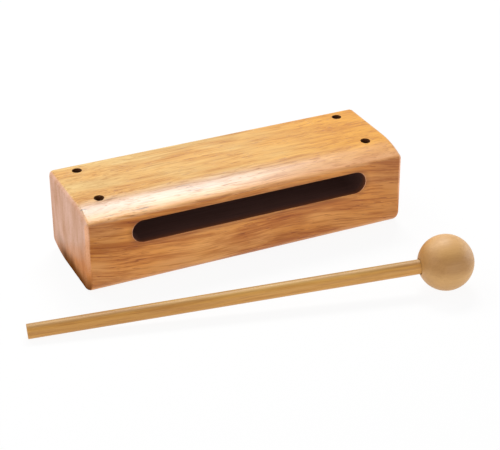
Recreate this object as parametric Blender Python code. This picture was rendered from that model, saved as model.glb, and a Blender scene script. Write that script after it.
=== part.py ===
# Wood block and its beater: a hardwood block with a sound slot routed in from the front,
# four sunk screws that keep its solid ends from splitting, and a ball-headed wooden beater
# lying in front of it.
# Metres, +Z up. The origin is the middle of the block's underside, X runs along the block
# and the slot faces -Y.

import math

import bmesh
import bpy
from mathutils import Vector

# Block
block_length = 0.203
block_depth = 0.064
block_height = 0.051
crown_reach = 0.0235           # how far the crowned playing edge runs back from the front
crown_drop = 0.0054            # how far it would fall below the top at the front itself
crown_steps = 16
arris_radius = 0.0020          # rounding of the arris between the crown and the front
arris_steps = 4
back_top_radius = 0.0012
back_top_steps = 3
front_bottom_radius = 0.0080
front_bottom_steps = 8
end_round = 0.0030             # rounding all round the two end faces
end_round_steps = 4

# Sound slot
slot_left_wall = 0.0280        # solid wood between the left end and the slot
slot_right_wall = 0.0252
slot_height = 0.0137
slot_depth = 0.050
tongue_thickness = 0.0100      # wood between the slot and the top
slot_lip = 0.0008              # rounding of the slot's mouth
slot_lip_steps = 3
slot_end_steps = 18

# Screws, sunk in the solid ends
screw_from_end = 0.0155
screw_from_front = 0.0190
screw_from_back = 0.0075
screw_sunk = 0.0045            # how deep the head lies below the top
screw_cover = 0.0130           # wood left under the tip
screw_head_diameter = 0.0054
screw_head_rim = 0.0004
screw_head_height = 0.0022
screw_shank_diameter = 0.0028
screw_tip_length = 0.0040
recess_span = 0.0026
recess_width = 0.0007
recess_depth = 0.0011
screw_sides = 24

# Beater
beater_length = 0.255
head_diameter = 0.0325
head_segments = 48
head_rings = 28
shaft_diameter = 0.0085
shaft_sides = 32
shaft_tail_chamfer = 0.0003
head_cover = 0.0120            # wood between the end of the head's bore and the far side
head_along = 0.0861            # where the head's centre lies, along the block from its middle
head_out = 0.0778              # and how far out from the block's front
beater_turn = math.radians(12.4)

fit_gap = 0.0003               # clear space between pieces that touch
overrun = 0.004                # how far a cutter stands out of what it cuts

half_length = block_length / 2
front_y = -block_depth / 2
back_y = block_depth / 2
head_radius = head_diameter / 2
shaft_radius = shaft_diameter / 2
shaft_reach = beater_length - head_radius    # from the tail to the head's centre
screw_top = block_height - screw_sunk


def clear_scene():
    for thing in list(bpy.data.objects):
        bpy.data.objects.remove(thing, do_unlink=True)


def make_material(name, colour, roughness, metallic=0.0):
    material = bpy.data.materials.new(name)
    material.use_nodes = True
    shader = material.node_tree.nodes["Principled BSDF"]
    shader.inputs["Base Color"].default_value = (*colour, 1.0)
    shader.inputs["Roughness"].default_value = roughness
    shader.inputs["Metallic"].default_value = metallic
    return material


def finish_mesh(name, shape, material=None):
    bmesh.ops.recalc_face_normals(shape, faces=shape.faces)
    mesh = bpy.data.meshes.new(name)
    shape.to_mesh(mesh)
    shape.free()
    if material:
        mesh.materials.append(material)
        mesh.shade_smooth()
        mesh.set_sharp_from_angle(angle=math.radians(30))
    return mesh


def add_object(name, mesh, location=(0, 0, 0), parent=None):
    thing = bpy.data.objects.new(name, mesh)
    thing.location = location
    thing.parent = parent
    bpy.context.scene.collection.objects.link(thing)
    return thing


def add_cutter(name, mesh, location=(0, 0, 0), parent=None):
    cutter = add_object(name, mesh, location, parent)
    cutter.hide_render = True
    cutter.display_type = "WIRE"
    return cutter


def cut(piece, cutter):
    boolean = piece.modifiers.new("cut_" + cutter.name, "BOOLEAN")
    boolean.operation = "DIFFERENCE"
    boolean.solver = "EXACT"
    boolean.object = cutter


def arc(centre, radius, start, end, steps):
    # Points along a round stretch of an outline. Angles in degrees.
    points = []
    for index in range(steps + 1):
        angle = math.radians(start + (end - start) * index / steps)
        points.append((centre[0] + radius * math.cos(angle), centre[1] + radius * math.sin(angle)))
    return points


def loft(rings):
    # A closed solid through a row of like outlines.
    shape = bmesh.new()
    loops = []
    for ring in rings:
        corners = [shape.verts.new(point) for point in ring]
        loops.append([shape.edges.new(pair) for pair in zip(corners, corners[1:] + corners[:1])])
    for near, far in zip(loops, loops[1:]):
        bmesh.ops.bridge_loops(shape, edges=near + far)
    for end in (loops[0], loops[-1]):
        bmesh.ops.contextual_create(shape, geom=end)
    return shape


def revolve(profile, sides):
    # A turned solid about Z. Each point is a radius and a height, from the axis to the axis.
    shape = bmesh.new()
    points = [shape.verts.new((radius, 0, height)) for radius, height in profile]
    edges = [shape.edges.new(pair) for pair in zip(points, points[1:])]
    bmesh.ops.spin(shape, geom=points + edges, axis=(0, 0, 1), angle=math.tau, steps=sides, use_merge=True)
    bmesh.ops.remove_doubles(shape, verts=shape.verts, dist=0.000001)
    return shape


def crowned_edge():
    # The playing edge, from the front face back to the top. A small round leads off the
    # upright front into one large arc, which runs out level into the top.
    radius = (crown_reach ** 2 + crown_drop ** 2) / (2 * crown_drop)
    centre = (front_y + crown_reach, block_height - radius)
    apart = radius - arris_radius
    sweep = math.asin((crown_reach - arris_radius) / apart)
    arris_centre = (front_y + arris_radius, centre[1] + apart * math.cos(sweep))
    meeting = 90 + math.degrees(sweep)
    arris = arc(arris_centre, arris_radius, 180, meeting, arris_steps)
    return arris + arc(centre, radius, meeting, 90, crown_steps)[1:]


def block_outline():
    # Seen along X. The back's lower edge is crowned like the front's upper one.
    back_top = arc((back_y - back_top_radius, block_height - back_top_radius), back_top_radius,
                   90, 0, back_top_steps)
    back_bottom = [(-y, block_height - z) for y, z in crowned_edge()]
    front_bottom = arc((front_y + front_bottom_radius, front_bottom_radius), front_bottom_radius,
                       -90, -180, front_bottom_steps)
    return crowned_edge() + back_top + back_bottom + front_bottom


def end_rings(side):
    # From full size, one rounding short of the end, to the end face itself.
    rings = []
    for index in range(end_round_steps + 1):
        angle = math.pi / 2 * index / end_round_steps
        inset = end_round * (1 - math.cos(angle))
        x = side * (half_length - end_round * (1 - math.sin(angle)))
        narrower = 1 - inset / (block_depth / 2)
        lower = 1 - inset / (block_height / 2)
        rings.append([(x, y * narrower, inset + z * lower) for y, z in block_outline()])
    return rings


def slot_outline(spread):
    # Seen from the front: a long slot with round ends, wider all round by the spread.
    radius = slot_height / 2
    z = block_height - tongue_thickness - radius
    left = -half_length + slot_left_wall + radius
    right = half_length - slot_right_wall - radius
    right_end = arc((right, z), radius + spread, -90, 90, slot_end_steps)
    return right_end + arc((left, z), radius + spread, 90, 270, slot_end_steps)


def slot_cutter():
    # The mouth flares out along a quarter round, which leaves the slot's lip rounded.
    stations = [(front_y - overrun, slot_lip)]
    for index in range(slot_lip_steps + 1):
        angle = math.pi / 2 * index / slot_lip_steps
        stations.append((front_y + slot_lip * (1 - math.cos(angle)), slot_lip * (1 - math.sin(angle))))
    stations.append((front_y + slot_depth, 0))
    rings = [[(x, y, z) for x, z in slot_outline(spread)] for y, spread in stations]
    return add_cutter("slot_cutter", finish_mesh("slot_cutter", loft(rings)))


def screw_profile(gap):
    # Round the screw itself with no gap, and its bore with one. A bore is open at the top.
    head = screw_head_diameter / 2 + gap
    shank = screw_shank_diameter / 2 + gap
    rim = screw_top - screw_head_rim - gap
    neck = screw_top - screw_head_height - gap
    tip = screw_cover - gap
    top = block_height + overrun if gap else screw_top
    return [(0, top), (head, top), (head, rim), (shank, neck), (shank, tip + screw_tip_length), (0, tip)]


def recess_outline():
    # The cross in the screw's head, as two crossed slots.
    long = recess_span / 2
    short = recess_width / 2
    corner = [(long, -short), (long, short), (short, short)]
    outline = []
    for quarter in range(4):
        turn = math.pi / 2 * quarter
        for x, y in corner:
            outline.append((x * math.cos(turn) - y * math.sin(turn), x * math.sin(turn) + y * math.cos(turn)))
    return outline


def screw_places():
    x = half_length - screw_from_end
    front = front_y + screw_from_front
    back = back_y - screw_from_back
    return {
        "screw_front_left": (-x, front, 0),
        "screw_front_right": (x, front, 0),
        "screw_back_left": (-x, back, 0),
        "screw_back_right": (x, back, 0),
    }


def block_body(material):
    rings = end_rings(-1)[::-1] + end_rings(1)
    body = add_object("block_body", finish_mesh("block_body", loft(rings), material))
    cut(body, slot_cutter())
    bore = finish_mesh("screw_bore", revolve(screw_profile(fit_gap), screw_sides))
    for name, place in screw_places().items():
        cut(body, add_cutter(name + "_bore", bore, place))
    return body


def screws(material):
    screw = finish_mesh("screw", revolve(screw_profile(0), screw_sides), material)
    levels = (screw_top - recess_depth, screw_top + overrun)
    recess = finish_mesh("recess", loft([[(x, y, z) for x, y in recess_outline()] for z in levels]))
    for name, place in screw_places().items():
        cut(add_object(name, screw, place), add_cutter(name + "_recess", recess, place))


def beater_stand():
    # An empty at the head's centre with its Z along the shaft, tilted so that both the
    # head and the tail's lower rim touch the ground.
    span = math.hypot(shaft_reach, shaft_radius)
    tilt = math.asin(head_radius / span) - math.atan2(shaft_radius, shaft_reach)
    level = math.cos(tilt)
    pointing = Vector((level * math.cos(beater_turn), -level * math.sin(beater_turn), math.sin(tilt)))
    stand = add_object("beater", None, (head_along, front_y - head_out, head_radius))
    stand.rotation_euler = pointing.to_track_quat("Z", "Y").to_euler()
    return stand


def beater_shaft(stand, material):
    tail = -shaft_reach
    end = head_radius - head_cover - fit_gap
    waist = shaft_radius - shaft_tail_chamfer
    profile = [(0, end), (shaft_radius, end), (shaft_radius, tail + shaft_tail_chamfer), (waist, tail), (0, tail)]
    mesh = finish_mesh("beater_shaft", revolve(profile, shaft_sides), material)
    return add_object("beater_shaft", mesh, parent=stand)


def beater_head(stand, material):
    ball = bmesh.new()
    bmesh.ops.create_uvsphere(ball, u_segments=head_segments, v_segments=head_rings, radius=head_radius)
    head = add_object("beater_head", finish_mesh("beater_head", ball, material), parent=stand)
    radius = shaft_radius + fit_gap
    end = head_radius - head_cover
    mouth = -head_radius - overrun
    bore = finish_mesh("head_bore", revolve([(0, end), (radius, end), (radius, mouth), (0, mouth)], shaft_sides))
    cut(head, add_cutter("head_bore", bore, parent=stand))
    return head


def build():
    clear_scene()
    varnished_wood = make_material("varnished_wood", (0.56, 0.29, 0.10), 0.35)
    head_wood = make_material("head_wood", (0.62, 0.37, 0.17), 0.45)
    shaft_wood = make_material("shaft_wood", (0.55, 0.29, 0.10), 0.45)
    blackened_steel = make_material("blackened_steel", (0.03, 0.027, 0.025), 0.45, 1.0)
    block_body(varnished_wood)
    screws(blackened_steel)
    stand = beater_stand()
    beater_shaft(stand, shaft_wood)
    beater_head(stand, head_wood)


build()
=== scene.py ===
import math

import bmesh
import bpy
from mathutils import Matrix, Vector


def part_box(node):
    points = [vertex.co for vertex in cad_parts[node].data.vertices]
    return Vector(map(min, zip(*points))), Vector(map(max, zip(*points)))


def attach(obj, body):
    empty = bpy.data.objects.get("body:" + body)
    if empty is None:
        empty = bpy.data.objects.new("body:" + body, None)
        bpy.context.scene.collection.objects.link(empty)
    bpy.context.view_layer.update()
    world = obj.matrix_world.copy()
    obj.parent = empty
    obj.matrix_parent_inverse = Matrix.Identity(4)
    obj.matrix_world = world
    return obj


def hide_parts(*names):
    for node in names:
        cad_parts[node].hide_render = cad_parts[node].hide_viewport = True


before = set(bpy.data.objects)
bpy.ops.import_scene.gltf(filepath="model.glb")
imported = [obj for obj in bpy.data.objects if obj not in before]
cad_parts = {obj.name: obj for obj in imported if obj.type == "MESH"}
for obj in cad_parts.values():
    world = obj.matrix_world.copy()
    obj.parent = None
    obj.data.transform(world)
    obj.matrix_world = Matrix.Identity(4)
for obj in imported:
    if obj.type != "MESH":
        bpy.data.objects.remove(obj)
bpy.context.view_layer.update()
print("frame loaded")


# Small tools shared by the pieces

def selectOnly(*pieces):
    bpy.ops.object.select_all(action="DESELECT")
    for piece in pieces:
        piece.select_set(True)
    bpy.context.view_layer.objects.active = pieces[-1]


def settle(name):
    # The new primitive's place, turn and scale go into its mesh, and its object to the origin.
    piece = bpy.context.active_object
    piece.name = name
    piece.data.name = name
    bpy.ops.object.transform_apply(location=True, rotation=True, scale=True)
    return piece


def pick(piece, kind, wanted):
    # Selects the vertices, edges or faces that pass the test and stays in edit mode.
    selectOnly(piece)
    bpy.ops.object.mode_set(mode="EDIT")
    bpy.ops.mesh.select_mode(type=kind)
    bpy.ops.mesh.select_all(action="DESELECT")
    shape = bmesh.from_edit_mesh(piece.data)
    shape.normal_update()
    for part in {"VERT": shape.verts, "EDGE": shape.edges, "FACE": shape.faces}[kind]:
        if wanted(part):
            part.select_set(True)
    bmesh.update_edit_mesh(piece.data)


def facesDown(face):
    return face.normal.z < -0.9


def leaveEdit():
    bpy.ops.object.mode_set(mode="OBJECT")


def applyModifier(piece, kind, **settings):
    modifier = piece.modifiers.new(kind.lower(), kind)
    for key, value in settings.items():
        setattr(modifier, key, value)
    selectOnly(piece)
    bpy.ops.object.modifier_apply(modifier=modifier.name)


def cutAway(piece, cutter):
    applyModifier(piece, "BOOLEAN", operation="DIFFERENCE", solver="EXACT", object=cutter,
                  material_mode="TRANSFER")
    bpy.data.objects.remove(cutter)


def drawOut(distance, shrink, centre):
    # Extrudes the picked end face along Z and draws it in or out about the centre line.
    bpy.ops.mesh.extrude_region_move(TRANSFORM_OT_translate={"value": (0, 0, distance)})
    bpy.ops.transform.resize(value=(shrink, shrink, 1), center_override=centre)


def smoothFinish(piece, angle=30):
    selectOnly(piece)
    bpy.ops.object.shade_smooth_by_angle(angle=math.radians(angle))
    applyModifier(piece, "WEIGHTED_NORMAL", keep_sharp=True)


# Node helpers

def newMaterial(name):
    material = bpy.data.materials.new(name)
    material.use_nodes = True
    tree = material.node_tree
    return material, tree, tree.nodes["Principled BSDF"]


def setSockets(shader, values):
    for socket, value in values.items():
        shader.inputs[socket].default_value = value


def addNode(tree, kind, inputs=None, **settings):
    node = tree.nodes.new("ShaderNode" + kind)
    for key, value in settings.items():
        setattr(node, key, value)
    for socket, value in (inputs or {}).items():
        if isinstance(value, bpy.types.NodeSocket):
            tree.links.new(value, node.inputs[socket])
        else:
            node.inputs[socket].default_value = value
    return node


def apart(tree, vector):
    # The three parts of a place or a direction.
    node = addNode(tree, "SeparateXYZ", {"Vector": vector})
    return node.outputs["X"], node.outputs["Y"], node.outputs["Z"]


def vectors(tree, operation, *parts):
    node = addNode(tree, "VectorMath", dict(enumerate(parts)), operation=operation)
    return node.outputs["Value" if operation == "LENGTH" else "Vector"]


def maths(tree, operation, first, second=0):
    return addNode(tree, "Math", {0: first, 1: second}, operation=operation).outputs[0]


def times(tree, first, second):
    return maths(tree, "MULTIPLY", first, second)


def plus(tree, first, second):
    return maths(tree, "ADD", first, second)


def minus(tree, first, second):
    return maths(tree, "SUBTRACT", first, second)


def absolute(tree, value):
    return maths(tree, "ABSOLUTE", value)


def noise(tree, place, scale=1.0, detail=3.0, rough=0.55):
    node = addNode(tree, "TexNoise", {"Vector": place, "Scale": scale, "Detail": detail, "Roughness": rough})
    return node.outputs["Fac"]


def mapRange(tree, value, low, high, toLow=0.0, toHigh=1.0, smooth=False):
    node = addNode(tree, "MapRange", {"Value": value, "From Min": low, "From Max": high,
                                      "To Min": toLow, "To Max": toHigh})
    if smooth:
        node.interpolation_type = "SMOOTHSTEP"
    return node.outputs["Result"]


def smoothRange(tree, value, low, high, toLow=0.0, toHigh=1.0):
    return mapRange(tree, value, low, high, toLow, toHigh, smooth=True)


def mixValue(tree, factor, first, second):
    return addNode(tree, "Mix", {0: factor, 2: first, 3: second}, data_type="FLOAT").outputs[0]


def blendColour(tree, factor, first, second, mode="MIX"):
    # A Mix node's colours are its inputs 6 and 7, and its colour output is number 2.
    inputs = {0: factor, 6: first, 7: second}
    return addNode(tree, "Mix", inputs, data_type="RGBA", blend_type=mode).outputs[2]


def tinted(tree, share, tint, colour):
    return blendColour(tree, share, tint, colour, "MULTIPLY")


def bumped(tree, height, strength, distance):
    bump = addNode(tree, "Bump", {"Height": height, "Strength": strength, "Distance": distance})
    return bump.outputs["Normal"]


def rgb(red, green, blue):
    return (red, green, blue, 1.0)


# Wood

toMillimetres = (1000, 1000, 1000)
noiseReach = (0.3, 0.7)              # most of a noise lies between these

# What the three woods share. A size is in waves per millimetre, along and across the grain.
figureShape = {
    "wanderAcross": 0.03,
    "layerSize": (0.01, 0.12), "layerSway": 1.5, "layerDarkens": (0.30, 0.85), "layerEnds": (0.99, 0.88),
    "fineSize": (0.10, 2.2), "patchBand": (0.38, 0.62), "crowdBand": (0.35, 0.65),
    "lineWidth": 0.11, "poreWidth": 0.07, "lateShare": 0.3, "roughSpread": 0.05,
    "poreDepth": 0.00008,                                    # metres
}


def stretched(tree, grain, along, across):
    # What is drawn on these coordinates runs with the grain.
    return vectors(tree, "MULTIPLY", grain, (along, across, across))


def ragged(tree, patches, reach):
    # A small shift that wavers with the wood's patches, so that an edge isn't straight.
    return mapRange(tree, patches, *noiseReach, -reach, reach)


def grainCoordinates(tree, look):
    # In millimetres, with X along the grain, which falls and waves a little as it runs.
    place = addNode(tree, "TexCoord").outputs["Object"]
    grain = addNode(tree, "Mapping", {"Vector": place, "Location": look["shift"], "Rotation": look["turn"],
                                      "Scale": toMillimetres}).outputs["Vector"]
    along = apart(tree, grain)[0]
    wave = maths(tree, "SINE", times(tree, along, math.tau / look["waveLength"]))
    lift = minus(tree, times(tree, along, look["fall"]), times(tree, wave, look["waveHeight"]))
    wanderPlace = stretched(tree, grain, look["wanderAlong"], figureShape["wanderAcross"])
    wander = addNode(tree, "TexNoise", {"Vector": wanderPlace, "Scale": 1.0, "Detail": 1.0}).outputs["Color"]
    swayed = vectors(tree, "MULTIPLY_ADD", wander, (0, look["wander"], look["wander"]), grain)
    lifted = addNode(tree, "CombineXYZ", {"Z": lift}).outputs["Vector"]
    return place, vectors(tree, "ADD", swayed, lifted)


def growthLayers(tree, grain, look):
    # Rings round a far-off heart, each darkening slowly and ending sharply.
    shape = figureShape
    fromHeart = vectors(tree, "SUBTRACT", grain, look["heart"])
    reach = vectors(tree, "LENGTH", vectors(tree, "MULTIPLY", fromHeart, (0, 1, 1)))
    sway = noise(tree, stretched(tree, grain, *shape["layerSize"]))
    uneven = times(tree, sway, look["layer"] * shape["layerSway"])
    rings = maths(tree, "DIVIDE", plus(tree, reach, uneven), look["layer"])
    part = maths(tree, "FRACT", rings)
    return times(tree, smoothRange(tree, part, *shape["layerDarkens"]),
                 smoothRange(tree, part, *shape["layerEnds"]))


def woodFigure(tree, grain, fine, look):
    # Bands, streaks, fibres and layers in one value, and the middle that it swings about.
    broad = noise(tree, stretched(tree, grain, *look["broadSize"]), detail=2)
    streaks = noise(tree, stretched(tree, grain, *look["streakSize"]), detail=4, rough=0.62)
    late = growthLayers(tree, grain, look)
    figure = plus(tree, times(tree, broad, look["broad"]), times(tree, streaks, look["streaks"]))
    figure = plus(tree, figure, times(tree, fine, look["fine"]))
    figure = plus(tree, figure, times(tree, late, look["late"]))
    middle = (look["broad"] + look["streaks"] + look["fine"]) / 2 + look["late"] * figureShape["lateShare"]
    return figure, middle


def linesAndPores(tree, grain, patches, look):
    # Thin brown lines run with the grain, thicker in some stretches than in others, among a
    # few short open pores, which the varnish sinks into.
    crowd = mapRange(tree, patches, *figureShape["crowdBand"], -look["poreCrowd"], look["poreCrowd"])
    lineNoise = noise(tree, stretched(tree, grain, *look["lineSize"]), detail=2, rough=0.5)
    lineFull = look["lineFrom"] + figureShape["lineWidth"]
    lines = smoothRange(tree, plus(tree, lineNoise, crowd), look["lineFrom"], lineFull)
    poreNoise = noise(tree, stretched(tree, grain, *look["poreSize"]), detail=1.5, rough=0.4)
    poreFull = look["poreFrom"] + figureShape["poreWidth"]
    pores = smoothRange(tree, plus(tree, poreNoise, crowd), look["poreFrom"], poreFull)
    return lines, pores


def zonedFigure(tree, grain, zones, look, figure, middle, lines, pores):
    # The top's figure is calmer. The ends show the layers edge on, standing upright, with
    # hardly a line or a pore.
    end = zones["end"]
    figure = mixValue(tree, times(tree, zones["top"], look["calm"]), figure, middle)
    upright = noise(tree, vectors(tree, "MULTIPLY", grain, look["uprightSize"]), detail=2)
    layered = times(tree, minus(tree, upright, 0.5), look["endFigure"])
    figure = mixValue(tree, end, figure, plus(tree, layered, middle))
    dots = noise(tree, vectors(tree, "MULTIPLY", grain, look["dotSize"]), detail=2)
    lines = mixValue(tree, end, lines, mapRange(tree, dots, *look["dotBand"], 0.0, look["speckle"]))
    pores = mixValue(tree, end, pores, times(tree, pores, look["endPores"]))
    return figure, lines, pores


def zonedCoat(tree, zones, look):
    # The varnish is thin on the ends, and there is none on the foot that is painted dark as shade.
    coat = mixValue(tree, zones["end"], look["coat"], look["endCoat"])
    return times(tree, coat, minus(tree, 1.0, zones["foot"]))


def woodMaterial(name, look, placeTint):
    material, tree, shader = newMaterial(name)
    place, grain = grainCoordinates(tree, look)
    fine = noise(tree, stretched(tree, grain, *figureShape["fineSize"]), detail=2)
    patches = noise(tree, stretched(tree, grain, *look["patchSize"]), detail=2)
    figure, middle = woodFigure(tree, grain, fine, look)
    lines, pores = linesAndPores(tree, grain, patches, look)
    patchy = mapRange(tree, patches, *figureShape["patchBand"])
    tint = blendColour(tree, patchy, look["colour"], look["otherColour"])
    tint, zones = placeTint(tree, place, patches, tint)
    if zones:
        figure, lines, pores = zonedFigure(tree, grain, zones, look, figure, middle, lines, pores)
        tree.links.new(zonedCoat(tree, zones, look), shader.inputs["Coat Weight"])
    else:
        setSockets(shader, {"Coat Weight": look["coat"]})
    depth = mapRange(tree, figure, middle - look["spread"], middle + look["spread"])
    tint = tinted(tree, 1.0, tint, blendColour(tree, depth, look["pale"], look["deep"]))
    tint = tinted(tree, lines, tint, look["lineColour"])
    tint = tinted(tree, pores, tint, look["poreColour"])
    tree.links.new(tint, shader.inputs["Base Color"])
    sunk = minus(tree, 0.0, pores)
    for socket, strength in (("Normal", look["relief"]), ("Coat Normal", look["skinRelief"])):
        tree.links.new(bumped(tree, sunk, strength, figureShape["poreDepth"]), shader.inputs[socket])
    spread = figureShape["roughSpread"]
    rough = mapRange(tree, fine, *noiseReach, look["rough"] - spread, look["rough"] + spread)
    tree.links.new(rough, shader.inputs["Roughness"])
    setSockets(shader, {"Specular IOR Level": look["specular"], "Coat Roughness": look["coatRough"]})
    return material


# The block's colours. Each band runs from where a colour starts to where it is full, in
# metres along the block, out from its middle or up, or as a share of a direction.
blockLook = {
    # The grain, in millimetres and in waves per millimetre
    "shift": (0, 0, 0), "turn": (0, 0, 0),
    "fall": 0.08, "waveHeight": 2.87, "waveLength": 200,
    "wander": 5.0, "wanderAlong": 0.02,
    "heart": (0, -420, -60), "layer": 4.2,
    "broadSize": (0.020, 0.12), "streakSize": (0.026, 0.55), "patchSize": (0.020, 0.065),
    "broad": 0.45, "streaks": 0.45, "fine": 0.14, "late": 0.05, "spread": 0.080, "calm": 0.55,
    "pale": rgb(1.13, 1.20, 1.34), "deep": rgb(0.74, 0.59, 0.42),
    "lineSize": (0.026, 0.95), "lineFrom": 0.54, "lineColour": rgb(0.80, 0.69, 0.52),
    "poreSize": (0.13, 1.4), "poreFrom": 0.66, "poreCrowd": 0.04, "poreColour": rgb(0.68, 0.55, 0.42),
    # Front and back
    "colour": rgb(0.69, 0.298, 0.076), "otherColour": rgb(0.67, 0.260, 0.045), "frontBand": (-0.80, -0.95),
    "shadeColour": rgb(0.80, 0.77, 0.78), "shadeBand": (0.060, 0.095),
    "shadeRise": (0.012, 0.030, 0.35, 1.0),
    "warmColour": rgb(0.99, 0.94, 0.80), "warmBand": (-0.01, 0.08),
    "russetColour": rgb(0.87, 0.79, 0.62), "russetPlace": 0.026,
    "paleStretch": rgb(1.08, 1.13, 1.12), "palePlace": -0.024,
    "stretchReach": (0.021, 0.004), "stretchTop": (0.026, 0.018),
    # The mouth's colour and reach are painted shade round the slot.
    "mouthShadeColour": rgb(0.74, 0.70, 0.70), "mouthShadeReach": 0.0045, "mouthShadeEdge": 0.0003,
    # Top and crown
    # The top's colours are the wood's own, painted paler and yellower as painted light.
    "topWoodAndLight": rgb(0.69, 0.454, 0.162), "topOtherWoodAndLight": rgb(0.71, 0.392, 0.102),
    "topBand": (0.0440, 0.0465), "topUneven": 0.0006,
    "rightColour": rgb(0.70, 0.320, 0.030), "rightBand": (-0.01, 0.09),
    # The crown's and the brink's colours are a painted highlight.
    "crownHighlightColour": rgb(0.60, 0.375, 0.215), "crownHighlightBand": (-0.0115, -0.0200),
    "crownHighlightFade": (-0.02, 0.06, 1.0, 0.08),
    "brinkHighlightColour": rgb(0.70, 0.36, 0.150), "brinkHighlightLeft": rgb(0.89, 0.53, 0.250),
    "brinkHighlightBand": (-0.0225, -0.0300), "brinkHighlightFade": (-0.030, 0.030),
    "scuffColour": rgb(0.44, 0.50, 0.57), "scuffSize": (0.055, 0.85), "scuffFrom": 0.625, "scuffWidth": 0.06,
    # Ends
    "endColour": rgb(0.72, 0.440, 0.315), "endBand": (0.12, 0.50), "endUpward": 0.15,
    "endFigure": 0.22, "uprightSize": (0, 0.16, 0.04), "endPores": 0.3,
    "dotSize": (0.2, 1.7, 1.7), "dotBand": (0.54, 0.66), "speckle": 0.7,
    # The low end's colour is painted shade from the shadowed floor beneath.
    "lowEndShadeColour": rgb(0.66, 0.265, 0.080), "lowEndShadeBand": (0.022, 0.003),
    "lowEndShadeSlant": 0.45, "lowEndShadeUneven": -0.004,
    "cornerColour": rgb(0.92, 0.50, 0.29), "cornerBand": (0.15, 0.45), "cornerRise": (0.012, 0.026),
    # The foot's colour is painted shade from the floor close under the left end.
    "footShadeColour": rgb(0.26, 0.23, 0.19), "footShadeBand": (0.0165, 0.0042), "footShadeReach": (0.029, 0.007),
    "footShadeSlant": -0.08, "footShadeUneven": 0.0025, "footShadeFacing": (-0.1, -0.5),
    # Varnish
    "relief": 0.2, "skinRelief": 0.5, "rough": 0.42, "specular": 0.0,
    "coat": 0.80, "endCoat": 0.18, "coatRough": 0.28,
}


def topWoodAndLightTint(tree, spot, patches):
    # The wood's colour, painted paler and yellower than the front as painted light where the brighter light
    # falls, and redder to the right.
    look = blockLook
    patchy = mapRange(tree, patches, *figureShape["patchBand"])
    tint = blendColour(tree, patchy, look["topWoodAndLight"], look["topOtherWoodAndLight"])
    return blendColour(tree, smoothRange(tree, spot[0], *look["rightBand"]), tint, look["rightColour"])


def crownHighlightTint(tree, place, spot, tint):
    # Painted highlight: the crowned edge is painted paler and greyer, and pinker near the arris, brightest
    # there toward the left, with short grey scuffs along it.
    look = blockLook
    x, y = spot[:2]
    crown = times(tree, smoothRange(tree, y, *look["crownHighlightBand"]), smoothRange(tree, x, *look["crownHighlightFade"]))
    tint = blendColour(tree, crown, tint, look["crownHighlightColour"])
    rightward = smoothRange(tree, x, *look["brinkHighlightFade"])
    brink = blendColour(tree, rightward, look["brinkHighlightLeft"], look["brinkHighlightColour"])
    tint = blendColour(tree, smoothRange(tree, y, *look["brinkHighlightBand"]), tint, brink)
    grain = addNode(tree, "Mapping", {"Vector": place, "Scale": toMillimetres}).outputs["Vector"]
    scuffNoise = noise(tree, stretched(tree, grain, *look["scuffSize"]), detail=2)
    scuffs = mapRange(tree, scuffNoise, look["scuffFrom"], look["scuffFrom"] + look["scuffWidth"])
    return tinted(tree, times(tree, scuffs, crown), tint, look["scuffColour"])


def frontTint(tree, spot, frontal, tint):
    # A little darker high up toward the two ends, and warmer to the right.
    look = blockLook
    x, z = spot[0], spot[2]
    endward = times(tree, smoothRange(tree, absolute(tree, x), *look["shadeBand"]),
                    smoothRange(tree, z, *look["shadeRise"]))
    tint = tinted(tree, times(tree, endward, frontal), tint, look["shadeColour"])
    rightward = smoothRange(tree, x, *look["warmBand"])
    tint = tinted(tree, times(tree, rightward, frontal), tint, look["warmColour"])
    # Under the slot, a redder stretch lies right of the middle and a paler one left of it.
    under = times(tree, smoothRange(tree, z, *look["stretchTop"]), frontal)
    stretches = ((look["russetPlace"], look["russetColour"]), (look["palePlace"], look["paleStretch"]))
    for middle, colour in stretches:
        aside = absolute(tree, minus(tree, x, middle))
        stretch = times(tree, smoothRange(tree, aside, *look["stretchReach"]), under)
        tint = tinted(tree, stretch, tint, colour)
    return tint


def slanted(tree, spot, slope):
    # Height on an end, measured from a line that slopes toward the front.
    return plus(tree, spot[2], times(tree, spot[1], slope))


def endTint(tree, spot, facing, patches):
    # Pink where the end grain drinks the varnish, and browner low down, painted shade from the shadowed
    # floor beneath, with paler upright corners.
    look = blockLook
    height = slanted(tree, spot, look["lowEndShadeSlant"])
    height = plus(tree, height, ragged(tree, patches, look["lowEndShadeUneven"]))
    low = smoothRange(tree, height, *look["lowEndShadeBand"])
    tint = blendColour(tree, low, look["endColour"], look["lowEndShadeColour"])
    corner = times(tree, absolute(tree, facing[0]), absolute(tree, facing[1]))
    paler = times(tree, smoothRange(tree, corner, *look["cornerBand"]),
                   mapRange(tree, spot[2], *look["cornerRise"]))
    return blendColour(tree, paler, tint, look["cornerColour"])


def paintedFootShade(tree, spot, facing, patches):
    # Painted shade: the foot of the left end is painted dark, up to an uneven edge, for the floor's shadow
    # close under it.
    look = blockLook
    height = slanted(tree, spot, look["footShadeSlant"])
    height = plus(tree, height, ragged(tree, patches, look["footShadeUneven"]))
    foot = times(tree, smoothRange(tree, height, *look["footShadeBand"]),
                 smoothRange(tree, spot[1], *look["footShadeReach"]))
    return times(tree, foot, mapRange(tree, facing[0], *look["footShadeFacing"]))


def mouthShade(tree, spot):
    # Painted shade: the front is darkened a little way round the slot's mouth.
    left, right, level, radius = slotMeasures()
    off = absolute(tree, minus(tree, spot[0], (left + right) / 2))
    beyond = maths(tree, "MAXIMUM", minus(tree, off, (right - left) / 2), 0)
    above = minus(tree, spot[2], level)
    away = vectors(tree, "LENGTH", addNode(tree, "CombineXYZ", {"X": beyond, "Z": above}).outputs["Vector"])
    return smoothRange(tree, away, radius + blockLook["mouthShadeReach"], radius + blockLook["mouthShadeEdge"])


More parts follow.
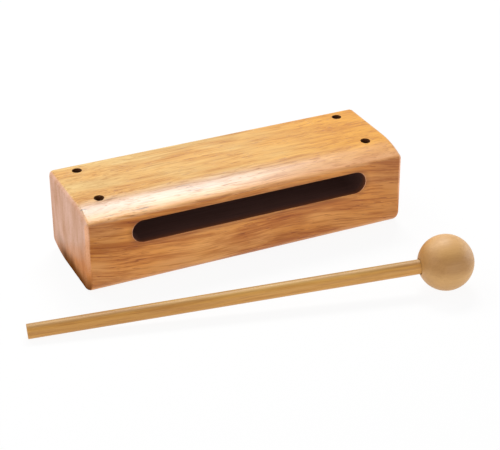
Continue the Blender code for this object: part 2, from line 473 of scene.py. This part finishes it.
def blockTint(tree, place, patches, tint):
    # Gives the colour by place, and where the top, the ends and the foot's painted shade are.
    look = blockLook
    spot = apart(tree, place)
    facing = apart(tree, addNode(tree, "TexCoord").outputs["Normal"])
    # The top takes the wood's colour with painted light, and the crown a painted highlight.
    top = smoothRange(tree, plus(tree, spot[2], ragged(tree, patches, look["topUneven"])), *look["topBand"])
    tint = blendColour(tree, top, tint, crownHighlightTint(tree, place, spot, topWoodAndLightTint(tree, spot, patches)))
    frontal = mapRange(tree, facing[1], *look["frontBand"])
    tint = frontTint(tree, spot, frontal, tint)
    upward = times(tree, maths(tree, "MAXIMUM", facing[2], 0), look["endUpward"])
    endwise = smoothRange(tree, minus(tree, absolute(tree, facing[0]), upward), *look["endBand"])
    tint = blendColour(tree, endwise, tint, endTint(tree, spot, facing, patches))
    # Painted shade along the foot of the left end.
    foot = paintedFootShade(tree, spot, facing, patches)
    tint = tinted(tree, foot, tint, look["footShadeColour"])
    # Painted shade round the slot's mouth.
    tint = tinted(tree, times(tree, mouthShade(tree, spot), frontal), tint, look["mouthShadeColour"])
    return tint, {"top": top, "end": endwise, "foot": foot}


# Stain, dark bores and steel

stainLook = {
    # The deep colour, over its band, is painted light against the shade deep in the slot.
    "lip": rgb(0.165, 0.052, 0.021), "dark": rgb(0.108, 0.048, 0.038), "deep": rgb(0.24, 0.13, 0.11),
    "lipBand": (-0.0315, -0.0270), "deepLitBand": (-0.027, -0.006),
    "fibreSize": (0.04, 1.3), "paleFibre": rgb(1.2, 1.2, 1.2), "darkFibre": rgb(0.8, 0.78, 0.76),
    "relief": 0.3, "rough": 0.75, "specular": 0.25,
}

boreLook = {
    "spotSize": 1400.0, "pale": rgb(0.19, 0.070, 0.024), "dark": rgb(0.10, 0.036, 0.013),
    "relief": 0.3, "rough": 0.85, "specular": 0.15,
}

steelLook = {
    "spotSize": 900.0, "rubbedBand": (0.45, 0.7), "rough": (0.38, 0.55),
    "dark": rgb(0.028, 0.025, 0.023), "paler": rgb(0.085, 0.075, 0.066),
}

roughDepth = 0.0001                  # of the stained wood and the dark bores


def stainMaterial():
    # The slot is stained nearly black at its mouth. Deeper in, the stain is painted paler, painted light
    # that makes up for the shade inside the slot.
    look = stainLook
    material, tree, shader = newMaterial("slotStain")
    place = addNode(tree, "TexCoord").outputs["Object"]
    grain = addNode(tree, "Mapping", {"Vector": place, "Scale": toMillimetres}).outputs["Vector"]
    fibres = noise(tree, stretched(tree, grain, *look["fibreSize"]), detail=4)
    y = apart(tree, place)[1]
    tint = blendColour(tree, mapRange(tree, y, *look["lipBand"]), look["lip"], look["dark"])
    # Painted light: the stain turns paler deeper in, against the shade inside the slot.
    tint = blendColour(tree, mapRange(tree, y, *look["deepLitBand"]), tint, look["deep"])
    shade = blendColour(tree, mapRange(tree, fibres, *noiseReach), look["paleFibre"], look["darkFibre"])
    tree.links.new(tinted(tree, 1.0, tint, shade), shader.inputs["Base Color"])
    tree.links.new(bumped(tree, fibres, look["relief"], roughDepth), shader.inputs["Normal"])
    setSockets(shader, {"Roughness": look["rough"], "Specular IOR Level": look["specular"]})
    return material


def boreMaterial():
    # Drilled end grain, dark.
    look = boreLook
    material, tree, shader = newMaterial("darkBoreWall")
    place = addNode(tree, "TexCoord").outputs["Object"]
    spots = noise(tree, place, scale=look["spotSize"], detail=3)
    tint = blendColour(tree, mapRange(tree, spots, *noiseReach), look["pale"], look["dark"])
    tree.links.new(tint, shader.inputs["Base Color"])
    tree.links.new(bumped(tree, spots, look["relief"], roughDepth), shader.inputs["Normal"])
    setSockets(shader, {"Roughness": look["rough"], "Specular IOR Level": look["specular"]})
    return material


def steelMaterial():
    # Blackened steel, rubbed a little brighter in places.
    look = steelLook
    material, tree, shader = newMaterial("blackenedSteel")
    place = addNode(tree, "TexCoord").outputs["Object"]
    spots = noise(tree, place, scale=look["spotSize"], detail=4)
    tint = blendColour(tree, mapRange(tree, spots, *look["rubbedBand"]), look["dark"], look["paler"])
    tree.links.new(tint, shader.inputs["Base Color"])
    tree.links.new(mapRange(tree, spots, *noiseReach, *look["rough"]), shader.inputs["Roughness"])
    setSockets(shader, {"Metallic": 1.0})
    return material


# The block

blockShape = {
    "crownReach": 0.0235, "crownDrop": 0.0054, "crownFacets": 16, "arrisRadius": 0.0020,
    "frontBottomRadius": 0.0080, "frontBottomFacets": 12,
    "backTopRadius": 0.0012, "endRound": 0.0030, "roundFacets": 5,
    "slotLeftWall": 0.0280, "slotRightWall": 0.0252, "slotHeight": 0.0137, "slotDepth": 0.050,
    "slotSides": 64, "tongue": 0.0100, "slotLip": 0.0008, "lipFacets": 4,
}

screwShape = {
    "headRadius": 0.0027, "headRim": 0.0004, "headHeight": 0.0022, "shankRadius": 0.0014,
    "tipLength": 0.0040, "tipShare": 0.2, "sides": 48, "edgeEase": 0.00012, "boreGap": 0.0003,
    "recessSpan": 0.0026, "recessWidth": 0.0007, "recessDepth": 0.0011, "recessTaper": 0.7,
    "threadPitch": 0.0013, "threadDepth": 0.00026, "threadRunout": 0.002, "threadSteps": 24,
    "turns": {"screw_front_left": 12, "screw_front_right": 57,
              "screw_back_left": 34, "screw_back_right": 78},           # degrees
}

overrun = 0.004                      # how far a cutter stands out of what it cuts


def slotMeasures():
    # The middles of the slot's two round ends along X, then their height and their radius.
    shape = blockShape
    low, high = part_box("block_body")
    radius = shape["slotHeight"] / 2
    left = low.x + shape["slotLeftWall"] + radius
    right = high.x - shape["slotRightWall"] - radius
    return left, right, high.z - shape["tongue"] - radius, radius


def planeOff(point, outward):
    # One stroke of the plane: everything outside the cut goes, and the cut is closed.
    bpy.ops.mesh.select_all(action="SELECT")
    bpy.ops.mesh.bisect(plane_co=point, plane_no=outward, use_fill=True, clear_outer=True)


def crownEdges(block, low, high):
    # The front's upper edge and the back's lower one are crowned in narrow facets. The large arc
    # ends where the arris's own small round takes over. Gives the arris's height and its bevel.
    shape = blockShape
    radius = (shape["crownReach"] ** 2 + shape["crownDrop"] ** 2) / (2 * shape["crownDrop"])
    between = radius - shape["arrisRadius"]
    sweep = math.asin((shape["crownReach"] - shape["arrisRadius"]) / between)
    axis = Vector((0, low.y + shape["crownReach"], high.z - radius))
    middle = (low + high) / 2
    selectOnly(block)
    bpy.ops.object.mode_set(mode="EDIT")
    for facet in range(1, shape["crownFacets"] + 1):
        tilt = sweep * facet / shape["crownFacets"]
        outward = Vector((0, -math.sin(tilt), math.cos(tilt)))
        onArc = axis + radius * outward
        planeOff(onArc, outward)
        planeOff(2 * middle - onArc, -outward)
    leaveEdit()
    ease = shape["arrisRadius"] * math.tan((math.pi / 2 - sweep) / 2)
    return axis.z + between * math.cos(sweep) + ease, ease


def near(first, second, reach=0.00002):
    return abs(first - second) < reach


def roundEdges(block, low, high, arris, ease):
    # First the large round of the front's lower edge, then every small one at once, each with
    # its own share of the widest one's width.
    shape = blockShape

    def alongEdge(edge, y, z):
        return all(near(corner.co.y, y) and near(corner.co.z, z) for corner in edge.verts)

    pick(block, "EDGE", lambda edge: alongEdge(edge, low.y, low.z))
    bpy.ops.mesh.bevel(offset=shape["frontBottomRadius"], segments=shape["frontBottomFacets"],
                       affect="EDGES")
    leaveEdit()
    eased = {
        (low.y, arris): ease,
        (high.y, low.z + high.z - arris): ease,
        (high.y, high.z): shape["backTopRadius"],
    }
    mesh = block.data
    weights = mesh.attributes.new("bevel_weight_edge", "FLOAT", "EDGE")
    for edge in mesh.edges:
        first, second = (mesh.vertices[index].co for index in edge.vertices)
        if near(first.x, second.x):
            weights.data[edge.index].value = 1.0
        for (y, z), width in eased.items():
            if all(near(end.y, y) and near(end.z, z) for end in (first, second)):
                weights.data[edge.index].value = width / shape["endRound"]
    applyModifier(block, "BEVEL", limit_method="WEIGHT", width=shape["endRound"],
                  segments=shape["roundFacets"])


def cutSlot(block, low, high, stain):
    # A cylinder drawn out sideways makes the round-ended cutter.
    shape = blockShape
    sides = shape["slotSides"]
    left, right, level, radius = slotMeasures()
    centre = Vector(((left + right) / 2, low.y + (shape["slotDepth"] - overrun) / 2, level))
    bpy.ops.object.select_all(action="DESELECT")
    bpy.ops.mesh.primitive_cylinder_add(vertices=sides, radius=radius, depth=shape["slotDepth"] + overrun,
                                        location=centre, rotation=(math.pi / 2, math.pi / sides, 0))
    cutter = settle("slotCutter")
    for side, end in ((-1, left), (1, right)):
        pick(cutter, "VERT", lambda corner: (corner.co.x - centre.x) * side > 0)
        bpy.ops.transform.translate(value=(end - centre.x, 0, 0))
        leaveEdit()
    cutter.data.materials.append(stain)
    cutAway(block, cutter)
    clearOfEnd = 0.01
    slack = 0.0001

    def onFront(face):
        return face.normal.y < -0.99 and near(face.calc_center_median().y, low.y)

    def roundMouth(corner):
        return (near(corner.co.y, low.y) and near(corner.co.z, level, radius + slack)
                and low.x + clearOfEnd < corner.co.x < high.x - clearOfEnd)

    def onMouth(edge):
        return sum(onFront(face) for face in edge.link_faces) == 1 and all(map(roundMouth, edge.verts))

    pick(block, "EDGE", onMouth)
    bpy.ops.mesh.bevel(offset=shape["slotLip"], segments=shape["lipFacets"], affect="EDGES",
                       clamp_overlap=False)
    leaveEdit()


def screwPlace(name):
    # The middle of the head's top, and the height of the tip.
    low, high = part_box(name)
    return Vector(((low.x + high.x) / 2, (low.y + high.y) / 2, high.z)), low.z


def turnScrew(name, centre, top, bottom, gap):
    # The head is a short cylinder, and its underside is drawn down for neck, shank and point.
    shape = screwShape
    head = shape["headRadius"] + gap
    shank = shape["shankRadius"] + gap
    screwTop = centre.z
    rim = screwTop - shape["headRim"] - gap
    neck = screwTop - shape["headHeight"] - gap
    tip = bottom - gap
    bpy.ops.object.select_all(action="DESELECT")
    bpy.ops.mesh.primitive_cylinder_add(vertices=shape["sides"], radius=head, depth=top - rim,
                                        location=(centre.x, centre.y, (top + rim) / 2))
    piece = settle(name)
    pick(piece, "FACE", facesDown)
    drawOut(neck - rim, shank / head, centre)
    drawOut(tip + shape["tipLength"] - neck, 1, centre)
    drawOut(-shape["tipLength"], shape["tipShare"], centre)
    bpy.ops.mesh.merge(type="CENTER")
    leaveEdit()
    return piece


def boreHoles(block, high, darkBore):
    for name in screwShape["turns"]:
        centre, tip = screwPlace(name)
        cutter = turnScrew("bore", centre, high.z + overrun, tip, screwShape["boreGap"])
        cutter.data.materials.append(darkBore)
        cutAway(block, cutter)


def makeBlock(wood, stain, darkBore):
    low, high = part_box("block_body")
    bpy.ops.object.select_all(action="DESELECT")
    bpy.ops.mesh.primitive_cube_add(size=1, location=(low + high) / 2, scale=high - low)
    block = settle("blockBody")
    block.data.materials.append(wood)
    arris, ease = crownEdges(block, low, high)
    roundEdges(block, low, high, arris, ease)
    cutSlot(block, low, high, stain)
    boreHoles(block, high, darkBore)
    smoothFinish(block)
    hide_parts("block_body")
    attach(block, "block")
    print("block done")
    return block


# The screws

def addThread(centre, bottom):
    shape = screwShape
    start = bottom + shape["tipLength"]
    end = centre.z - shape["headHeight"] - shape["threadRunout"]
    turns = int((end - start) / shape["threadPitch"])
    steps = shape["threadSteps"]
    bpy.ops.object.select_all(action="DESELECT")
    bpy.ops.mesh.primitive_circle_add(vertices=3, radius=shape["threadDepth"],
                                      location=(centre.x, centre.y, start),
                                      rotation=(math.pi / 2, math.pi / 2, 0))
    thread = bpy.context.active_object
    bpy.ops.object.transform_apply(location=False, rotation=True, scale=True)
    pick(thread, "VERT", lambda corner: True)
    bpy.ops.transform.translate(value=(shape["shankRadius"], 0, 0))
    leaveEdit()
    applyModifier(thread, "SCREW", angle=math.tau, screw_offset=shape["threadPitch"], iterations=turns,
                  steps=steps, render_steps=steps, use_merge_vertices=False)
    thread.name = "thread"
    selectOnly(thread)
    bpy.ops.object.transform_apply(location=True, rotation=True, scale=True)
    pick(thread, "VERT", lambda corner: True)
    bpy.ops.mesh.fill_holes(sides=3)
    bpy.ops.mesh.normals_make_consistent(inside=False)
    leaveEdit()
    return thread


def cutRecess(screw, centre):
    # Two tapered slots cross in the head.
    shape = screwShape
    size = (shape["recessSpan"], shape["recessWidth"], 2 * shape["recessDepth"])
    taper = shape["recessTaper"]
    for turn in (0, math.pi / 2):
        bpy.ops.object.select_all(action="DESELECT")
        bpy.ops.mesh.primitive_cube_add(size=1, location=centre, rotation=(0, 0, turn), scale=size)
        cutter = settle("recessCutter")
        pick(cutter, "FACE", facesDown)
        bpy.ops.transform.resize(value=(taper, taper, 1), center_override=centre)
        leaveEdit()
        cutAway(screw, cutter)


def makeScrews(steel):
    shape = screwShape
    centre, tip = screwPlace("screw_front_left")
    screw = turnScrew("screw", centre, centre.z, tip, 0)
    cutRecess(screw, centre)

    def onHeadEdge(corner):
        return near(corner.co.z, centre.z) and near((corner.co - centre).length, shape["headRadius"])

    pick(screw, "EDGE", lambda edge: all(map(onHeadEdge, edge.verts)))
    bpy.ops.mesh.bevel(offset=shape["edgeEase"], segments=2, affect="EDGES")
    leaveEdit()
    thread = addThread(centre, tip)
    selectOnly(thread, screw)
    bpy.ops.object.join()
    screw.data.materials.clear()
    screw.data.materials.append(steel)
    smoothFinish(screw)
    for name, degrees in shape["turns"].items():
        place = screwPlace(name)[0]
        copy = screw.copy()
        copy.data = screw.data.copy()
        bpy.context.scene.collection.objects.link(copy)
        turned = Matrix.Translation(place) @ Matrix.Rotation(math.radians(degrees), 4, "Z")
        copy.matrix_world = turned @ Matrix.Translation(-centre)
        selectOnly(copy)
        words = name.split("_")
        piece = settle(words[0] + "".join(word.capitalize() for word in words[1:]))
        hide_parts(name)
        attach(piece, "block")
    bpy.data.objects.remove(screw)
    print("screws done")


# The beater

beaterShape = {
    "length": 0.255, "headRadius": 0.01625, "shaftRadius": 0.00425, "headCover": 0.0120, "endGap": 0.0003,
    "turn": math.radians(12.4), "boreGap": 0.0001, "boreRim": 0.0003, "tailEase": 0.0004,
    "shaftSides": 96, "headSegments": 128, "headRings": 72,
}


def beaterLine():
    # The head's centre and the way that the shaft points to it. Head and tail both touch
    # the ground.
    shape = beaterShape
    low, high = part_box("beater_head")
    centre = Vector(((low.x + high.x) / 2, (low.y + high.y) / 2, shape["headRadius"]))
    reach = shape["length"] - shape["headRadius"]
    tilt = (math.asin(shape["headRadius"] / math.hypot(reach, shape["shaftRadius"]))
            - math.atan2(shape["shaftRadius"], reach))
    level = math.cos(tilt)
    turn = shape["turn"]
    return centre, Vector((level * math.cos(turn), -level * math.sin(turn), math.sin(tilt)))


def addRod(name, radius, start, end, sides):
    bpy.ops.object.select_all(action="DESELECT")
    turn = (end - start).to_track_quat("Z", "Y").to_euler()
    bpy.ops.mesh.primitive_cylinder_add(vertices=sides, radius=radius, depth=(end - start).length,
                                        location=(start + end) / 2, rotation=turn)
    return settle(name)


def makeShaft(centre, pointing, wood):
    shape = beaterShape
    tail = centre - pointing * (shape["length"] - shape["headRadius"])
    end = centre + pointing * (shape["headRadius"] - shape["headCover"] - shape["endGap"])
    shaft = addRod("beaterShaft", shape["shaftRadius"], tail, end, shape["shaftSides"])
    for cap, ease in ((tail, shape["tailEase"]), (end, 2 * shape["tailEase"])):
        pick(shaft, "EDGE", lambda edge: all(
            near((corner.co - cap).dot(pointing), 0) for corner in edge.verts))
        bpy.ops.mesh.bevel(offset=ease, segments=3, affect="EDGES")
        leaveEdit()
    shaft.data.materials.append(wood)
    smoothFinish(shaft)
    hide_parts("beater_shaft")
    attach(shaft, "beater")
    print("beater shaft done")


def makeHead(centre, pointing, wood, darkBore):
    shape = beaterShape
    bpy.ops.object.select_all(action="DESELECT")
    bpy.ops.mesh.primitive_uv_sphere_add(segments=shape["headSegments"], ring_count=shape["headRings"],
                                         radius=shape["headRadius"], location=centre,
                                         rotation=pointing.to_track_quat("Z", "Y").to_euler())
    head = settle("beaterHead")
    head.data.materials.append(wood)
    boreRadius = shape["shaftRadius"] + shape["boreGap"]
    boreEnd = centre + pointing * (shape["headRadius"] - shape["headCover"])
    mouth = centre - pointing * (shape["headRadius"] + overrun)
    cutter = addRod("headBore", boreRadius, mouth, boreEnd, shape["shaftSides"])
    cutter.data.materials.append(darkBore)
    cutAway(head, cutter)

    ballSlack = 0.00008
    boreSlack = 0.00001

    def onRim(corner):
        spoke = corner.co - centre
        return (near(spoke.length, shape["headRadius"], ballSlack)
                and near(spoke.cross(pointing).length, boreRadius, boreSlack))

    pick(head, "EDGE", lambda edge: all(map(onRim, edge.verts)))
    bpy.ops.mesh.bevel(offset=shape["boreRim"], segments=3, affect="EDGES", material=1)
    leaveEdit()
    smoothFinish(head, angle=40)
    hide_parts("beater_head")
    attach(head, "beater")
    print("beater head done")


# The beater's colours, with the grain in millimetres and in waves per millimetre.
shaftLook = {
    "shift": (30, 70, 20), "fall": 0.0, "waveHeight": 0.4, "waveLength": 160,
    "wander": 1.2, "wanderAlong": 0.01, "heart": (0, -90, 40), "layer": 2.6,
    "colour": rgb(0.565, 0.268, 0.044), "otherColour": rgb(0.525, 0.238, 0.032),
    "broad": 0.35, "streaks": 0.45, "fine": 0.20, "late": 0.05, "spread": 0.09,
    "pale": rgb(1.12, 1.15, 1.24), "deep": rgb(0.82, 0.74, 0.60),
    "broadSize": (0.012, 0.30), "streakSize": (0.03, 0.9), "patchSize": (0.011, 0.05),
    "lineSize": (0.03, 1.6), "lineFrom": 0.56, "lineColour": rgb(0.86, 0.78, 0.66),
    "poreSize": (0.12, 2.2), "poreFrom": 0.68, "poreCrowd": 0.03, "poreColour": rgb(0.75, 0.64, 0.52),
    # The upper colour is painted shade on the shaft's top.
    "upperShadeBand": (0.58, 0.94), "upperShadeColour": rgb(0.78, 0.88, 0.98),
    "relief": 0.15, "skinRelief": 0.15, "rough": 0.55, "specular": 0.4, "coat": 0.5, "coatRough": 0.5,
}

headLook = dict(shaftLook)
headLook.update({
    "shift": (-40, 10, 90), "heart": (0, -35, 25), "layer": 3.4, "wander": 2.0,
    "colour": rgb(0.545, 0.283, 0.090), "otherColour": rgb(0.515, 0.26, 0.076), "spread": 0.14,
    "pale": rgb(1.06, 1.07, 1.09), "deep": rgb(0.92, 0.89, 0.83),
    "lineFrom": 0.60, "lineColour": rgb(0.90, 0.84, 0.76),
    "poreFrom": 0.70, "poreColour": rgb(0.82, 0.74, 0.64),
    # The ball's middle band is painted shade, and the colour above and below it painted light.
    "middleShadeFoot": (0.013, 0.021), "middleShadeTop": (0.031, 0.024), "middleShadeUneven": 0.0015,
    "middleShadeFade": (0.090, 0.101, 1.0, 0.35),
    "litAboveAndBelow": rgb(1.10, 1.18, 1.26), "shadedMiddle": rgb(0.81, 0.77, 0.62),
})


def shaftShadeTint(tree, place, patches, tint):
    # Painted shade: the upper side of the shaft is painted a little darker and less red.
    facing = apart(tree, addNode(tree, "TexCoord").outputs["Normal"])
    upperShade = smoothRange(tree, facing[2], *shaftLook["upperShadeBand"])
    return tinted(tree, upperShade, tint, shaftLook["upperShadeColour"]), None


def headShadeTint(tree, place, patches, tint):
    # Painted shade: a darker band is painted across the middle of the ball, with painted light above and
    # below it.
    look = headLook
    spot = apart(tree, place)
    height = plus(tree, spot[2], ragged(tree, patches, look["middleShadeUneven"]))
    layer = times(tree, smoothRange(tree, height, *look["middleShadeFoot"]),
                  smoothRange(tree, height, *look["middleShadeTop"]))
    layer = times(tree, layer, smoothRange(tree, spot[0], *look["middleShadeFade"]))
    return tinted(tree, 1.0, tint, blendColour(tree, layer, look["litAboveAndBelow"], look["shadedMiddle"])), None


def beaterWoods(pointing):
    # Both pieces are cut with the grain along the shaft.
    along = pointing.rotation_difference(Vector((1, 0, 0))).to_euler()
    shaftWood = woodMaterial("shaftWood", dict(shaftLook, turn=along), shaftShadeTint)
    headWood = woodMaterial("headWood", dict(headLook, turn=along), headShadeTint)
    return shaftWood, headWood


# Floor, light and camera

floorLook = {
    "span": 6, "height": -0.0002, "colour": rgb(0.86, 0.86, 0.86), "rough": 0.9,
    "glow": (0.72, 0.92),            # how much of it is plain white, on the object and in the picture
}


def makeFloor():
    look = floorLook
    bpy.ops.object.select_all(action="DESELECT")
    bpy.ops.mesh.primitive_plane_add(size=look["span"], location=(0, 0, look["height"]))
    floor = settle("floor")
    material, tree, shader = newMaterial("paperFloor")
    setSockets(shader, {"Base Color": look["colour"], "Roughness": look["rough"], "Specular IOR Level": 0.0})
    white = addNode(tree, "Emission", {"Color": rgb(1, 1, 1), "Strength": 1.0})
    # Part of the white shines through from below, as on a light table, and the rest keeps
    # the shadow.
    share = mapRange(tree, addNode(tree, "LightPath").outputs["Is Camera Ray"], 0, 1, *look["glow"])
    mixed = addNode(tree, "MixShader", {0: share, 1: shader.outputs["BSDF"], 2: white.outputs["Emission"]})
    output = next(node for node in tree.nodes if node.type == "OUTPUT_MATERIAL")
    tree.links.new(mixed.outputs["Shader"], output.inputs["Surface"])
    floor.data.materials.append(material)


worldStrength = (0.32, 1.0)          # on the object, and as the camera and the gloss see it
lampAim = Vector((0, 0, 0.03))

# Each lamp's place, its width and depth in metres, and its power in watts.
lamps = {
    "softbox": ((0.26, 0.50, 1.0), (0.42, 0.30), 7.9),
    "softboxWing": ((0.57, 0.50, 1.0), (0.20, 0.30), 0.55),
    "backFill": ((-0.35, 0.60, 0.85), (0.5, 0.5), 4.0),
    "leftFill": ((-0.85, -0.10, 0.55), (0.7, 0.7), 2.4),
    "lowFill": ((0.08, -1.0, 0.12), (1.0, 0.2), 2.2),
    "rightFill": ((0.80, -0.10, 0.14), (0.6, 0.24), 1.6),
}


def addSoftbox(name, place, size, watts):
    bpy.ops.object.light_add(type="AREA", location=place)
    lamp = bpy.context.active_object
    lamp.name = name
    lamp.rotation_euler = (lampAim - Vector(place)).to_track_quat("-Z", "Y").to_euler()
    lamp.data.shape = "RECTANGLE"
    lamp.data.size, lamp.data.size_y = size
    lamp.data.energy = watts


def makeLight():
    world = bpy.data.worlds.new("studio")
    bpy.context.scene.world = world
    world.use_nodes = True
    tree = world.node_tree
    background = tree.nodes["Background"]
    rays = addNode(tree, "LightPath").outputs
    seen = maths(tree, "MAXIMUM", rays["Is Camera Ray"], rays["Is Glossy Ray"])
    seen = maths(tree, "MAXIMUM", seen, rays["Is Transmission Ray"])
    tree.links.new(mapRange(tree, seen, 0, 1, *worldStrength), background.inputs["Strength"])
    background.inputs["Color"].default_value = rgb(1, 1, 1)
    for name, (place, size, watts) in lamps.items():
        addSoftbox(name, place, size, watts)


# The place and the turn of the photograph's camera, worked out from its outlines.
photoCamera = {
    "place": (-0.33158, -0.74552, 0.45746), "forward": (0.36833, 0.79372, -0.48408),
    "right": (0.90597, -0.42332, -0.00474), "sensor": 36, "lens": 110.29,
}


def makeCamera():
    shape = photoCamera
    forward = Vector(shape["forward"]).normalized()
    right = Vector(shape["right"]).normalized()
    up = right.cross(forward).normalized()
    camera = bpy.data.objects.new("camera", bpy.data.cameras.new("camera"))
    bpy.context.scene.collection.objects.link(camera)
    turn = Matrix((right, up, -forward)).transposed()
    camera.matrix_world = Matrix.Translation(Vector(shape["place"])) @ turn.to_4x4()
    camera.data.sensor_width = shape["sensor"]
    camera.data.sensor_fit = "HORIZONTAL"
    camera.data.lens = shape["lens"]
    bpy.context.scene.camera = camera


makeCamera()
makeFloor()
makeLight()
bpy.context.scene.view_settings.view_transform = "Standard"
print("stage done")

darkBore = boreMaterial()
makeBlock(woodMaterial("blockWood", blockLook, blockTint), stainMaterial(), darkBore)
makeScrews(steelMaterial())
headCentre, shaftPointing = beaterLine()
shaftWood, headWood = beaterWoods(shaftPointing)
makeShaft(headCentre, shaftPointing, shaftWood)
makeHead(headCentre, shaftPointing, headWood, darkBore)
